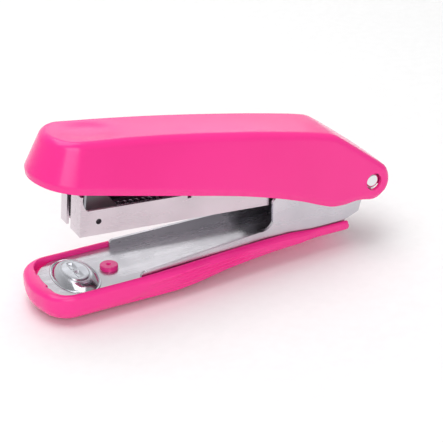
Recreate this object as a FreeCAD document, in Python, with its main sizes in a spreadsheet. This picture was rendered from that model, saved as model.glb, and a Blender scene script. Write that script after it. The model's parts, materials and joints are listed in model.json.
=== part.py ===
import FreeCAD, Part
import os
import re

import Sketcher

# Half-strip stapler at rest: the sprung magazine stands clear of the anvil and the handle is up.
# +X runs from the nose to the hinge, +Z is up, and the origin lies on the table under the middle.
# Pieces that turn about the hinge are drawn level, about the hinge's own axis, and are then tilted.

SIZES = {
    # hinge
    "hinge_x": 57.0,
    "hinge_z": 22.0,
    "magazine_tilt": 4.3,
    "blade_tilt": 6.6,
    "handle_tilt": 13.7,
    "pin_radius": 2.0,
    "pin_clearance": 0.08,
    "pin_head_radius": 2.7,
    "pin_head_depth": 1.6,
    # base tray
    "tray_nose": -64.5,
    "tray_tail": 49.5,
    "tray_half": 15.0,
    "tray_tail_half": 10.8,
    "tray_height": 9.5,
    "tray_inset": 4.0,
    "tray_nose_bow": 0.9,
    "tray_nose_corner": 10.0,
    "plate_nose_bow": 0.8,
    "tray_lift": 4.2,
    "tray_rim": 2.1,
    "tray_nose_rim": 4.2,
    "pad_depth": 1.4,
    # base plate
    "plate_z": 6.8,
    "sheet": 1.0,
    "channel_half": 9.6,
    "flange_start": -31.0,
    "flange_top": 10.7,
    "ear_front": 19.0,
    "ear_top": 25.5,
    "ear_lobe": 5.0,
    "ear_rear": 52.8,
    # anvil and stud
    "anvil_x": -48.5,
    "anvil_half_x": 7.4,
    "anvil_half_y": 12.2,
    "anvil_height": 2.4,
    "groove_depth": 0.55,
    "stud_x": -36.6,
    "stud_radius": 3.0,
    "stud_height": 1.3,
    "stud_shank": 1.7,
    # magazine
    "magazine_half": 7.5,
    "magazine_sheet": 0.8,
    "magazine_front": -106.3,
    "magazine_bottom": -4.3,
    "magazine_side_top": 4.4,
    "flap_top": 9.4,
    "slit_near": 0.0,
    "slit_far": 3.0,
    "blade_slot": 1.8,
    "spotting_radius": 0.95,
    "magazine_lobe": 4.9,
    # staple rail, pusher and its rod
    "rail_half": 5.6,
    "rail_sheet": 0.8,
    "rail_rear": -15.0,
    "rail_top": 2.4,
    "rod_radius": 1.0,
    "rod_z": 0.0,
    "rod_rear": -15.5,
    "anchor_front": -18.0,
    "pusher_length": 10.0,
    "pusher_half": 6.35,
    "spring_radius": 2.1,
    "spring_wire": 0.6,
    "bush_radius": 3.2,
    "lifter_rivet_x": 39.0,
    # handle frame and blade
    "frame_inner": 7.7,
    "frame_sheet": 0.7,
    "frame_front": -112.0,
    "frame_web": 6.0,
    "frame_lobe": 4.9,
    "blade_x": -104.55,
    "blade_thickness": 0.7,
    "blade_half": 6.3,
    "blade_tip": -0.1,
    "blade_head": 18.8,
    # cover
    "cover_wall": 1.5,
    "cover_low": -9.5,
    "cover_high": 16.5,
    "cover_nose_bow": 0.19,
    "cover_nose_corner": 0.4,
    "cover_nose_low": -123.8,
    "cover_nose_high": -117.9,
    "cover_front_half_low": 15.6,
    "cover_front_half_high": 8.6,
    "cover_middle_half_low": 15.0,
    "cover_middle_half_high": 9.6,
    "cover_rear_half_low": 13.2,
    "cover_rear_half_high": 10.6,
    "cover_hole_radius": 3.0,
    "cover_lobe": 6.9,
}

doc = FreeCAD.newDocument("stapler")
sheet = doc.addObject("Spreadsheet::Sheet", "Sizes")
for row, (alias, number) in enumerate(SIZES.items(), start=1):
    sheet.set(f"A{row}", alias.replace("_", " "))
    sheet.set(f"B{row}", str(number))
    sheet.setAlias(f"B{row}", alias)
doc.recompute()

SUBPARTS = []


def bound(text):
    """The expression with each driving dimension read from the sheet."""
    return re.sub(r"[a-z]\w*", lambda word: f"Sizes.{word[0]}" if word[0] in SIZES else word[0], str(text))


def value(text):
    """The expression's number now."""
    return float(doc.getObject("Sizes").evalExpression(bound(text)))


def bind(feature, **expressions):
    """Bind properties, written with two underscores for a dot, to expressions."""
    for name, text in expressions.items():
        feature.setExpression(name.replace("__", "."), bound(text))


def new_body(name):
    return doc.addObject("PartDesign::Body", name)


def new_sketch(body, name, plane, offset="0"):
    """A sketch on one of the body's own origin planes, moved along the plane's normal."""
    sketch = body.newObject("Sketcher::SketchObject", name)
    origin_plane = next(item for item in body.Origin.OriginFeatures if item.Role == plane)
    sketch.AttachmentSupport = [(origin_plane, "")]
    sketch.MapMode = "FlatFace"
    bind(sketch, AttachmentOffset__Base__z=offset)
    return sketch


def pin_point(sketch, geometry, position, x, y):
    """Hold a point of the sketch at bound distances from the sketch's origin."""
    for kind, text in (("DistanceX", x), ("DistanceY", y)):
        index = sketch.addConstraint(Sketcher.Constraint(kind, -1, 1, geometry, position, value(text)))
        sketch.setExpression(f"Constraints[{index}]", bound(text))


def draw_outline(sketch, points):
    """A closed outline. A point is (x, y), or (x, y, through_x, through_y) at the end of an arc."""
    ends = []
    for before, point in zip(points[-1:] + points[:-1], points):
        start = FreeCAD.Vector(value(before[0]), value(before[1]), 0)
        stop = FreeCAD.Vector(value(point[0]), value(point[1]), 0)
        if len(point) == 2:
            line = sketch.addGeometry(Part.LineSegment(start, stop))
            ends.append((line, 1, 2))
        else:
            middle = FreeCAD.Vector(value(point[2]), value(point[3]), 0)
            arc = sketch.addGeometry(Part.Arc(start, middle, stop))
            forward = sketch.getPoint(arc, 1).distanceToPoint(start) < 1e-6
            ends.append((arc, 1, 2) if forward else (arc, 2, 1))
            through = sketch.addGeometry(Part.Point(middle), True)
            sketch.addConstraint(Sketcher.Constraint("PointOnObject", through, 1, arc))
            pin_point(sketch, through, 1, point[2], point[3])
    for (piece, _, stop), (following, start, _) in zip(ends, ends[1:] + ends[:1]):
        sketch.addConstraint(Sketcher.Constraint("Coincident", piece, stop, following, start))
    for point, (piece, _, stop) in zip(points, ends):
        pin_point(sketch, piece, stop, point[0], point[1])


def draw_circle(sketch, x, y, radius):
    centre = FreeCAD.Vector(value(x), value(y), 0)
    circle = sketch.addGeometry(Part.Circle(centre, FreeCAD.Vector(0, 0, 1), value(radius)))
    pin_point(sketch, circle, 3, x, y)
    index = sketch.addConstraint(Sketcher.Constraint("Radius", circle, value(radius)))
    sketch.setExpression(f"Constraints[{index}]", bound(radius))


def extrude(body, kind, sketch, depth, symmetric=False, reverse=False):
    """A Pad or a Pocket of the sketch; a Pocket has to take something away."""
    feature = body.newObject(f"PartDesign::{kind}", f"{sketch.Name}_{kind.lower()}")
    feature.Profile = sketch
    feature.Type = "Length"
    bind(feature, Length=depth)
    if symmetric:
        feature.SideType = "Symmetric"
    feature.Reversed = reverse
    before = body.Shape.Volume if kind == "Pocket" else 0
    body.Tip = feature
    doc.recompute()
    if kind == "Pocket" and feature.Shape.Volume > before - 1e-4:
        raise ValueError(f"{feature.Name} takes nothing away")
    return feature


def padded(name, plane, points, depth, offset="0", symmetric=True, reverse=False):
    """A body that starts as one outline, padded."""
    body = new_body(name)
    sketch = new_sketch(body, f"{name}_outline", plane, offset)
    draw_outline(sketch, points)
    extrude(body, "Pad", sketch, depth, symmetric, reverse)
    return body


def cut_outline(body, name, plane, points, depth, offset="0", symmetric=True, reverse=False):
    sketch = new_sketch(body, name, plane, offset)
    draw_outline(sketch, points)
    extrude(body, "Pocket", sketch, depth, symmetric, reverse)


def cut_circle(body, name, plane, x, y, radius, depth="60", offset="0", symmetric=True):
    sketch = new_sketch(body, name, plane, offset)
    draw_circle(sketch, x, y, radius)
    extrude(body, "Pocket", sketch, depth, symmetric)


def lofted(name, outlines):
    """A body with straight sides between level outlines, each (height, points), from the lowest up."""
    body = new_body(name)
    sections = []
    for number, (level, points) in enumerate(outlines):
        sketch = new_sketch(body, f"{name}_section_{number}", "XY_Plane", level)
        draw_outline(sketch, points)
        sections.append(sketch)
    loft = body.newObject("PartDesign::AdditiveLoft", f"{name}_loft")
    loft.Profile = sections[0]
    loft.Sections = sections[1:]
    loft.Ruled = True
    body.Tip = loft
    doc.recompute()
    return body


def boolean(kind, name, base, tool):
    result = doc.addObject(f"Part::{kind}", name)
    result.Base = base
    result.Tool = tool
    doc.recompute()
    return result


def cylinder(name, radius, height, x="0", y="0", z="0", axis=None):
    """A cylinder from a point along +Z, or along +Y or +X where an axis is named."""
    solid = doc.addObject("Part::Cylinder", name)
    turns = {"X": (FreeCAD.Vector(0, 1, 0), 90), "Y": (FreeCAD.Vector(1, 0, 0), -90)}
    if axis:
        solid.Placement.Rotation = FreeCAD.Rotation(*turns[axis])
    bind(solid, Radius=radius, Height=height)
    bind(solid, Placement__Base__x=x, Placement__Base__y=y, Placement__Base__z=z)
    return solid


def box(name, low, high):
    """A box between two corners."""
    solid = doc.addObject("Part::Box", name)
    for side, base, first, last in zip(("Length", "Width", "Height"), "xyz", low, high):
        bind(solid, **{side: f"({last}) - ({first})", f"Placement__Base__{base}": first})
    return solid


def fused(name, solids):
    result = doc.addObject("Part::MultiFuse", name)
    result.Shapes = solids
    doc.recompute()
    return result


def finish(feature, label, tilt=None):
    """Name a sub-part; one that turns about the hinge is tilted and carried there."""
    feature.Label = label
    if tilt:
        turn = FreeCAD.Rotation(FreeCAD.Vector(0, 1, 0), value(tilt))
        feature.Placement = FreeCAD.Placement(FreeCAD.Vector(0, 0, 0), turn)
        bind(feature, Placement__Base__x="hinge_x", Placement__Base__z="hinge_z")
    doc.recompute()
    SUBPARTS.append(feature)


def blunt_nose(nose, half, bow, corner):
    """A bowed front and the round corner beside it, tangent to it and to the straight far side.

    Gives the bowed arc's end, the corner's end and the point halfway round the corner.
    """
    chord = f"(({half}) - {corner})"
    radius = f"(({chord} * {chord} + {bow} * {bow}) / (2 * {bow}))"
    turn = f"acos({chord} / {radius})"
    bend = f"({corner} / (1 - {chord} / {radius}))"
    front = f"({nose}) + {bow}"
    end = f"{front} + {bend} * sin({turn})"
    halfway = (
        f"{front} + {bend} * (sin({turn}) - sin({turn} / 2))",
        f"{chord} + {bend} * (cos({turn} / 2) - cos({turn}))",
    )
    return (front, chord), (end, half), halfway


def nosed_plan(nose, half, bow, corner, far_side):
    """A level outline with a blunt nose; the far side's points run from the nose's corner to the tail."""
    front, shoulder, halfway = blunt_nose(nose, half, bow, corner)
    near_side = []
    through = None
    for point in reversed(far_side):
        near = (point[0], f"-({point[1]})")
        near_side.append(near + through if through else near)
        through = (point[2], f"-({point[3]})") if len(point) == 4 else None
    near_shoulder = (shoulder[0], f"-({shoulder[1]})")
    return [
        (front[0], f"-({front[1]})", halfway[0], f"-({halfway[1]})"),
        (*front, nose, "0"),
        (*shoulder, *halfway),
        *far_side,
        *near_side,
        near_shoulder + through if through else near_shoulder,
    ]


# Base: the moulded tray

def tray_plan(inset):
    """The tray's outline: a blunt nose and a full front, both moved in by an inset, and a slim tail."""
    half = f"tray_half - ({inset})"
    tail = "tray_tail_half"
    waist = ("24", tail, "-5", f"({half} + {tail}) / 2 + 0.2")
    far_side = [("-33", half), waist, ("tray_tail", tail)]
    corner = f"(tray_nose_corner - ({inset}))"
    return nosed_plan(f"tray_nose + ({inset})", half, "tray_nose_bow", corner, far_side)


def base_tray():
    """A moulded tray with a rounded underside, upright sides and a tail that lifts off the table."""
    plan = lofted("tray_plan", [
        ("0", tray_plan("tray_inset")),
        ("0.9", tray_plan("tray_inset * 0.55")),
        ("2.6", tray_plan("tray_inset * 0.2")),
        ("5", tray_plan("tray_inset * 0.04")),
        ("tray_height", tray_plan("0")),
    ])
    side = padded(
        "tray_side", "XZ_Plane",
        [
            ("tray_nose - 1", "-1"),
            ("-14", "-1"),
            ("-10", "0"),
            ("26", "tray_lift", "8", "tray_lift - 1.9"),
            ("tray_tail + 1", "tray_lift + 0.6"),
            ("tray_tail + 1", "tray_height - 0.9"),
            ("36", "tray_height - 0.9"),
            ("27", "tray_height + 0.4"),
            ("16", "tray_height + 1"),
            ("tray_nose - 1", "tray_height + 1"),
        ],
        "60",
    )
    blank = boolean("Common", "tray_blank", plan, side)
    recess = padded(
        "tray_recess", "XY_Plane", plate_plan("0.1", "-1"), "10", offset="plate_z", symmetric=False,
    )
    stud_hole = cylinder("tray_stud_hole", "stud_shank", "5", "stud_x", "0", "plate_z - 3")
    pad = box(
        "tray_pad_recess",
        ("tray_nose + 14", "-tray_half + 7.5", "-1"),
        ("-16", "tray_half - 7.5", "pad_depth"),
    )
    hollow = fused("tray_hollow", [recess, stud_hole, pad])
    finish(boolean("Cut", "tray", blank, hollow), "base_tray")


# Base: the steel plate with its side flanges and hinge ears

def plate_plan(grow="0", tail_grow="0"):
    """The plate's outline: wide at the anvil, then a channel of constant width to the tail."""
    nose = f"tray_nose + tray_nose_rim - ({grow})"
    half = f"tray_half - tray_rim + ({grow})"
    channel = f"channel_half + ({grow})"
    bend = ("16", channel, "-9", f"({half} + {channel}) / 2 + 0.1")
    far_side = [("-33", half), bend, (f"tray_tail + 8 - ({tail_grow})", channel)]
    corner = "(tray_nose_corner - tray_rim)"
    return nosed_plan(nose, half, "plate_nose_bow", corner, far_side)


def base_plate():
    plan = padded("plate_plan", "XY_Plane", plate_plan(), "30", offset="plate_z", symmetric=False)
    lobe = "ear_lobe"
    side = padded(
        "plate_side", "XZ_Plane",
        [
            ("tray_nose", "plate_z - 1"),
            ("45", "plate_z - 1"),
            ("45", "plate_z + 1.2"),
            ("ear_rear", "plate_z + 4.2"),
            (f"hinge_x - {lobe} * 0.5", f"hinge_z - {lobe} * 0.866"),
            (f"hinge_x + {lobe} * 0.5", f"hinge_z + {lobe} * 0.866", f"hinge_x + {lobe} * 0.866",
             f"hinge_z - {lobe} * 0.5"),
            ("ear_front + 3", "ear_top"),
            ("ear_front", "ear_top - 3"),
            ("ear_front", "plate_z + 8"),
            ("ear_front - 5", "plate_z + 5.6", "ear_front - 1.5", "plate_z + 6.2"),
            ("flange_start + 2", "flange_top"),
            ("flange_start", "flange_top - 1.4", "flange_start + 0.5", "flange_top - 0.4"),
            ("flange_start", "plate_z + sheet"),
            ("tray_nose", "plate_z + sheet"),
        ],
        "60",
    )
    blank = boolean("Common", "plate_blank", plan, side)
    hollow = padded(
        "plate_hollow", "XY_Plane", plate_plan("-sheet", "-20"), "40", offset="plate_z + sheet",
        symmetric=False,
    )
    stud_hole = cylinder("plate_stud_hole", "stud_shank + 0.1", "4", "stud_x", "0", "plate_z - 1")
    pin_hole = cylinder(
        "plate_pin_hole", "pin_radius + 0.02", "60", "hinge_x", "-30", "hinge_z", axis="Y",
    )
    rivet_hole = cylinder("plate_rivet_hole", "1.3", "4", "lifter_rivet_x", "0", "plate_z - 1")
    open_parts = fused("plate_open", [hollow, stud_hole, pin_hole, rivet_hole])
    finish(boolean("Cut", "plate", blank, open_parts), "base_plate")


# Base: the anvil, the stud that holds the plate down, the lifting spring and the hinge pin

def ellipse(sketch, x, half_x, half_y):
    """A bound ellipse whose long axis runs across the stapler."""
    centre = FreeCAD.Vector(value(x), 0, 0)
    major = centre + FreeCAD.Vector(0, value(half_y), 0)
    minor = centre + FreeCAD.Vector(value(half_x), 0, 0)
    curve = sketch.addGeometry(Part.Ellipse(major, minor, centre))
    sketch.exposeInternalGeometry(curve)
    pin_point(sketch, curve, 3, x, "0")
    pin_point(sketch, curve + 1, 1, x, half_y)
    sketch.addConstraint(Sketcher.Constraint("Distance", curve + 2, 2 * value(half_x)))
    index = sketch.ConstraintCount - 1
    sketch.setExpression(f"Constraints[{index}]", bound(f"2 * ({half_x})"))


def anvil():
    """A dome on an oval foot, built up in rings, with two clinching grooves across its flat top."""
    body = new_body("anvil_body")
    sections = []
    for level, shrink in (("0", "0"), ("0.4", "0.35"), ("0.68", "1.05"), ("0.88", "2.0"), ("1", "3.1")):
        name = f"anvil_ring_{len(sections)}"
        sketch = new_sketch(body, name, "XY_Plane", f"plate_z + sheet + anvil_height * {level}")
        ellipse(sketch, "anvil_x", f"anvil_half_x - {shrink}", f"anvil_half_y - {shrink}")
        sections.append(sketch)
    dome = body.newObject("PartDesign::AdditiveLoft", "anvil_dome")
    dome.Profile = sections[0]
    dome.Sections = sections[1:]
    dome.Ruled = True
    body.Tip = dome
    doc.recompute()
    grooves = []
    for number, side in enumerate((-1, 1)):
        inner = f"{side} * 0.9"
        outer = f"{side} * 6.6"
        groove = padded(
            f"clinch_groove_{number}", "XY_Plane",
            [
                ("anvil_x - 0.9", inner),
                ("anvil_x + 0.9", inner, "anvil_x", f"{side} * 0.1"),
                ("anvil_x + 0.9", outer),
                ("anvil_x - 0.9", outer, "anvil_x", f"{side} * 7.4"),
            ],
            "2 * groove_depth", offset="plate_z + sheet + anvil_height",
        )
        grooves.append(groove)
    finish(boolean("Cut", "grooved_anvil", body, fused("anvil_grooves", grooves)), "anvil")


def revolved(name, points, x, z):
    """A turned piece: its half outline (radius, height) is spun about the vertical through (x, z)."""
    body = new_body(name)
    sketch = new_sketch(body, f"{name}_outline", "XZ_Plane")
    draw_outline(sketch, points)
    turn = body.newObject("PartDesign::Revolution", f"{name}_turn")
    turn.Profile = sketch
    turn.ReferenceAxis = (sketch, ["V_Axis"])
    turn.Angle = 360
    body.Tip = turn
    doc.recompute()
    bind(body, Placement__Base__x=x, Placement__Base__z=z)
    return body


def plate_stud():
    head = "stud_height"
    finish(
        revolved(
            "stud",
            [
                ("0", "-sheet - 2.5"),
                ("stud_shank - 0.05", "-sheet - 2.5"),
                ("stud_shank - 0.05", "0"),
                ("stud_radius", "0"),
                ("stud_radius", f"{head} - 0.4"),
                ("stud_radius - 0.4", head, "stud_radius - 0.12", f"{head} - 0.12"),
                ("0.9", head),
                ("0", f"{head} - 0.6"),
            ],
            "stud_x", "plate_z + sheet",
        ),
        "plate_stud",
    )


def lifting_spring():
    """A leaf that lies on the plate, turns up and holds the magazine's floor."""
    floor = "plate_z + sheet"
    leaf = "0.6"
    body = padded(
        "lifter", "XZ_Plane",
        [
            ("44", floor),
            ("44", f"{floor} + {leaf}"),
            ("34", f"{floor} + {leaf}"),
            ("24", "19.5", "28", f"{floor} + 6.5"),
            ("20", "20.15", "22", "20.2"),
            ("20", "19.55"),
            ("23.7", "18.9", "22", "19.5"),
            ("34.2", floor, "27.4", f"{floor} + 6.0"),
        ],
        "8",
    )
    cut_circle(body, "lifter_rivet_hole", "XY_Plane", "lifter_rivet_x", "0", "1.3", "20")
    finish(body, "lifting_spring")


def lifting_spring_rivet():
    leaf_top = "plate_z + sheet + 0.6"
    finish(
        revolved(
            "lifter_rivet",
            [
                ("0", "-sheet - 0.6"),
                ("1.25", "-sheet - 0.6"),
                ("1.25", "0"),
                ("2.2", "0"),
                ("1.1", "0.9", "1.85", "0.63"),
                ("0", "0.9"),
            ],
            "lifter_rivet_x", leaf_top,
        ),
        "lifting_spring_rivet",
    )


def hinge_pin():
    """The rivet on which everything turns, with a domed head outside each ear."""
    reach = "channel_half"
    outside = "channel_half + pin_head_depth"
    head = "pin_head_radius"
    body = new_body("hinge_pin_body")
    sketch = new_sketch(body, "hinge_pin_outline", "XY_Plane")
    draw_outline(
        sketch,
        [
            ("0", outside),
            ("0", f"-({outside})"),
            (f"{head} - 1.2", f"-({outside})"),
            (head, f"-({outside}) + 0.7", f"{head} - 0.35", f"-({outside}) + 0.2"),
            (head, f"-({reach})"),
            ("pin_radius", f"-({reach})"),
            ("pin_radius", reach),
            (head, reach),
            (head, f"{outside} - 0.7"),
            (f"{head} - 1.2", outside, f"{head} - 0.35", f"{outside} - 0.2"),
        ],
    )
    turn = body.newObject("PartDesign::Revolution", "hinge_pin_turn")
    turn.Profile = sketch
    turn.ReferenceAxis = (sketch, ["V_Axis"])
    turn.Angle = 360
    body.Tip = turn
    doc.recompute()
    bind(body, Placement__Base__x="hinge_x", Placement__Base__z="hinge_z")
    finish(body, "hinge_pin")


# Magazine: drawn about the hinge's axis

def magazine_channel():
    low = "magazine_bottom"
    front = "magazine_front"
    inside = f"{front} + magazine_sheet"
    body = padded(
        "channel", "XZ_Plane",
        [
            (front, low),
            ("-8", low),
            ("magazine_lobe * 0.42", "-magazine_lobe * 0.907", "-2.2", f"{low} - 0.1"),
            ("-magazine_lobe * 0.3", "magazine_lobe * 0.954", "magazine_lobe * 0.88",
             "magazine_lobe * 0.475"),
            ("-10", "magazine_side_top - 1.8"),
            ("-60", "magazine_side_top - 1.8"),
            ("-60", "magazine_side_top"),
            ("-67.6", "magazine_side_top"),
            ("-67.6", "magazine_side_top - 1.2"),
            ("-69", "magazine_side_top - 1.2"),
            ("-69", "magazine_side_top"),
            (f"{front} + 2.4", "magazine_side_top"),
            (f"{front} + 0.8", "flap_top", f"{front} + 1.3", "magazine_side_top + 1.4"),
            (front, "flap_top"),
        ],
        "2 * magazine_half",
    )
    cut_outline(
        body, "channel_hollow", "XY_Plane",
        [
            (inside, "-magazine_half + magazine_sheet"),
            (inside, "magazine_half - magazine_sheet"),
            ("10", "magazine_half - magazine_sheet"),
            ("10", "-magazine_half + magazine_sheet"),
        ],
        "30", offset=f"{low} + magazine_sheet", symmetric=False, reverse=True,
    )
    cut_outline(
        body, "channel_slot", "XY_Plane",
        [
            (inside, "-magazine_half + magazine_sheet"),
            (inside, "magazine_half - magazine_sheet"),
            (f"{inside} + blade_slot", "magazine_half - magazine_sheet"),
            (f"{inside} + blade_slot", "-magazine_half + magazine_sheet"),
        ],
        "4", offset=f"{low}",
    )
    cut_outline(
        body, "channel_slit", "YZ_Plane",
        [
            ("slit_near", f"{low} - 1"),
            ("slit_far", f"{low} - 1"),
            ("slit_far", "magazine_side_top + 1"),
            ("slit_far + 1.5", "flap_top + 1"),
            ("slit_near - 3.5", "flap_top + 1"),
            ("slit_near", "magazine_side_top + 3"),
        ],
        "magazine_sheet * 2", offset=front,
    )
    cut_circle(body, "channel_spotting_hole", "XZ_Plane", "-100", "0.3", "spotting_radius")
    cut_circle(body, "channel_pin_hole", "XZ_Plane", "0", "0", "pin_radius + pin_clearance")
    finish(body, "magazine_channel", "magazine_tilt")


def staple_rail():
    """The inner channel that the staples sit astride, with a turned-up stop at its front."""
    low = "magazine_bottom + magazine_sheet"
    front = "magazine_front + magazine_sheet + blade_slot"
    body = padded(
        "rail", "YZ_Plane",
        [
            ("-rail_half", low),
            ("rail_half", low),
            ("rail_half", "rail_top"),
            ("rail_half - rail_sheet", "rail_top"),
            ("rail_half - rail_sheet", f"{low} + rail_sheet"),
            ("-rail_half + rail_sheet", f"{low} + rail_sheet"),
            ("-rail_half + rail_sheet", "rail_top"),
            ("-rail_half", "rail_top"),
        ],
        f"rail_rear - ({front})", offset=front, symmetric=False,
    )
    stop = new_sketch(body, "rail_stop", "YZ_Plane", front)
    draw_outline(
        stop,
        [
            ("-rail_half + rail_sheet + 0.4", f"{low} + rail_sheet"),
            ("rail_half - rail_sheet - 0.4", f"{low} + rail_sheet"),
            ("rail_half - rail_sheet - 0.4", "rail_top - 0.6"),
            ("-rail_half + rail_sheet + 0.4", "rail_top - 0.6"),
        ],
    )
    extrude(body, "Pad", stop, "rail_sheet")
    finish(body, "staple_rail", "magazine_tilt")


def rail_rivets():
    """Two rivets through the rail's floor and the magazine's floor."""
    rail_floor = "magazine_bottom + magazine_sheet + rail_sheet"
    heads = []
    for number, x in enumerate((-22, -28)):
        head = cylinder(f"rail_rivet_{number}_head", "1.6", "0.5", str(x), "0", rail_floor)
        heads.append(head)
    finish(fused("rail_rivet_heads", heads), "rail_rivets", "magazine_tilt")


def pusher_rod():
    front = "magazine_front + magazine_sheet + blade_slot + rail_sheet"
    rod = cylinder("rod", "rod_radius", f"rod_rear - ({front})", front, "0", "rod_z", axis="X")
    finish(fused("rod_piece", [rod, cylinder("rod_head", "1.6", "0.6", "rod_rear", "0", "rod_z", axis="X")]),
           "pusher_rod", "magazine_tilt")


def rod_anchor():
    """The bracket that stands in the rail and holds the rod's rear end."""
    floor = "magazine_bottom + magazine_sheet + rail_sheet"
    wide = "rail_half - rail_sheet - 0.1"
    body = padded(
        "anchor", "XZ_Plane",
        [
            ("anchor_front", floor),
            ("rod_rear", floor),
            ("rod_rear", "rail_top"),
            ("anchor_front + 1.6", "rail_top"),
            ("anchor_front + 1.6", f"{floor} + 0.5"),
            ("anchor_front", f"{floor} + 0.5"),
        ],
        f"2 * ({wide})",
    )
    cut_circle(body, "anchor_rod_hole", "YZ_Plane", "0", "rod_z", "rod_radius + 0.02", "60")
    finish(body, "rod_anchor", "magazine_tilt")


def pusher_rest():
    """Where the pusher's front face stands when no staples are loaded."""
    return "magazine_front + magazine_sheet + blade_slot + rail_sheet + 0.2"


def pusher():
    """The follower: a block on the rod, a bridge over the rail and a leg down each side of it."""
    front = pusher_rest()
    half = "pusher_half"
    leg = f"{half} - 0.5"
    under = "rail_top + 0.3"
    block = "rail_half - rail_sheet - 0.35"
    body = padded(
        "pusher_block", "YZ_Plane",
        [
            (f"-({half})", "magazine_bottom + magazine_sheet + 0.4"),
            (f"-({leg})", "magazine_bottom + magazine_sheet + 0.4"),
            (f"-({leg})", under),
            (f"-({block})", under),
            (f"-({block})", "-2.2"),
            (block, "-2.2"),
            (block, under),
            (leg, under),
            (leg, "magazine_bottom + magazine_sheet + 0.4"),
            (half, "magazine_bottom + magazine_sheet + 0.4"),
            (half, f"{under} + 1.1"),
            (f"-({half})", f"{under} + 1.1"),
        ],
        "pusher_length", offset=front, symmetric=False,
    )
    cut_circle(body, "pusher_bore", "YZ_Plane", "0", "rod_z", "rod_radius + 0.3", "300")
    finish(body, "pusher", "magazine_tilt")


def pusher_spring():
    """The space of the coil spring on the rod, from the pusher to the anchor."""
    start = f"{pusher_rest()} + pusher_length"
    length = f"anchor_front + 1.6 - ({start})"
    coil = cylinder("spring_outside", "spring_radius", length, start, "0", "rod_z", axis="X")
    core = cylinder("spring_inside", "spring_radius - spring_wire", length, start, "0", "rod_z", axis="X")
    finish(boolean("Cut", "spring_coil", coil, core), "pusher_spring", "magazine_tilt")


def hinge_bush():
    wide = "magazine_half - magazine_sheet"
    outside = cylinder("bush_outside", "bush_radius", f"2 * ({wide})", "0", f"-({wide})", "0", axis="Y")
    bore = cylinder("bush_bore", "pin_radius + pin_clearance", "40", "0", "-20", "0", axis="Y")
    finish(boolean("Cut", "bush", outside, bore), "hinge_bush", "magazine_tilt")


# Handle: drawn about the hinge's axis

def handle_frame():
    """The steel channel inside the cover: a web over two side walls that run back to the hinge."""
    wall_low = "-2.2"
    top = "frame_web + 0.8"
    body = padded(
        "frame", "XZ_Plane",
        [
            ("frame_front", wall_low),
            ("-20", wall_low),
            ("-8", "-frame_lobe", "-13", "-frame_lobe + 1.2"),
            ("0", "-frame_lobe"),
            ("0", "frame_lobe", "frame_lobe", "0"),
            ("-8", "frame_lobe + 0.6"),
            ("-14", top, "-11", "frame_lobe + 1.3"),
            ("frame_front + 3", top),
            ("frame_front", "frame_web - 2", "frame_front + 0.9", "frame_web - 0.1"),
        ],
        "2 * (frame_inner + frame_sheet)",
    )
    cut_outline(
        body, "frame_hollow", "YZ_Plane",
        [
            ("-frame_inner", "-12"),
            ("frame_inner", "-12"),
            ("frame_inner", "frame_web"),
            ("-frame_inner", "frame_web"),
        ],
        "400",
    )
    cut_outline(
        body, "frame_rear_opening", "XY_Plane",
        [("-16", "-frame_inner"), ("-16", "frame_inner"), ("12", "frame_inner"), ("12", "-frame_inner")],
        "60",
    )
    cut_circle(body, "frame_pin_hole", "XZ_Plane", "0", "0", "pin_radius + pin_clearance")
    finish(body, "handle_frame", "handle_tilt")


def driver_blade():
    """The blade that drives a staple, square to the magazine at mid stroke, with a tab under the web."""
    upright = padded(
        "blade_plate", "XZ_Plane",
        [
            ("blade_x - blade_thickness / 2", "blade_tip"),
            ("blade_x + blade_thickness / 2", "blade_tip"),
            ("blade_x + blade_thickness / 2", "blade_head"),
            ("blade_x - blade_thickness / 2", "blade_head"),
        ],
        "2 * blade_half",
    )
    lean = FreeCAD.Rotation(FreeCAD.Vector(0, 1, 0), value("blade_tilt - handle_tilt"))
    upright.Placement = FreeCAD.Placement(FreeCAD.Vector(0, 0, 0), lean)
    tab = box(
        "blade_tab",
        ("blade_x - 1.2", "-blade_half", "frame_web - blade_thickness"),
        ("blade_x + 11", "blade_half", "frame_web"),
    )
    finish(fused("blade", [upright, tab]), "driver_blade", "handle_tilt")


def blade_rivets():
    """Two rivet heads on the web over the blade's tab."""
    heads = []
    for number, side in enumerate((-1, 1)):
        head = cylinder(
            f"blade_rivet_{number}_head", "1.5", "0.5", "blade_x + 6", f"{side} * 3.2", "frame_web + 0.8",
        )
        heads.append(head)
    finish(fused("blade_rivet_heads", heads), "blade_rivets", "handle_tilt")


def handle_spring():
    """A leaf under the web whose cross bar bears on the magazine's side walls."""
    leaf = "0.5"
    body = padded(
        "handle_leaf", "XZ_Plane",
        [
            ("-24", "frame_web"),
            ("-24", f"frame_web - {leaf}"),
            ("-36", f"frame_web - {leaf}"),
            ("-63.5", "-5.6", "-51", "1.3"),
            ("-66.5", "-5.95", "-65", "-5.98"),
            ("-66.5", "-5.45"),
            ("-63.6", "-5.05", "-65", "-5.43"),
            ("-36", "frame_web", "-51", "1.75"),
        ],
        "14.6",
    )
    for side in (-1, 1):
        word = "far" if side > 0 else "near"
        cut_outline(
            body, f"leaf_waist_{word}", "XY_Plane",
            [("-20", f"{side} * 4"), ("-20", f"{side} * 9"), ("-61", f"{side} * 9"), ("-61", f"{side} * 4")],
            "60",
        )
    finish(body, "handle_spring", "handle_tilt")


def handle_spring_rivet():
    rivet = cylinder("handle_rivet_head", "1.8", "0.8", "-29", "0", "frame_web - 0.5 - 0.8")
    finish(boolean("Cut", "handle_rivet", rivet, cylinder("handle_rivet_dimple", "0.8", "0.3", "-29", "0",
           "frame_web - 0.5 - 0.8")), "handle_spring_rivet", "handle_tilt")


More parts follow.
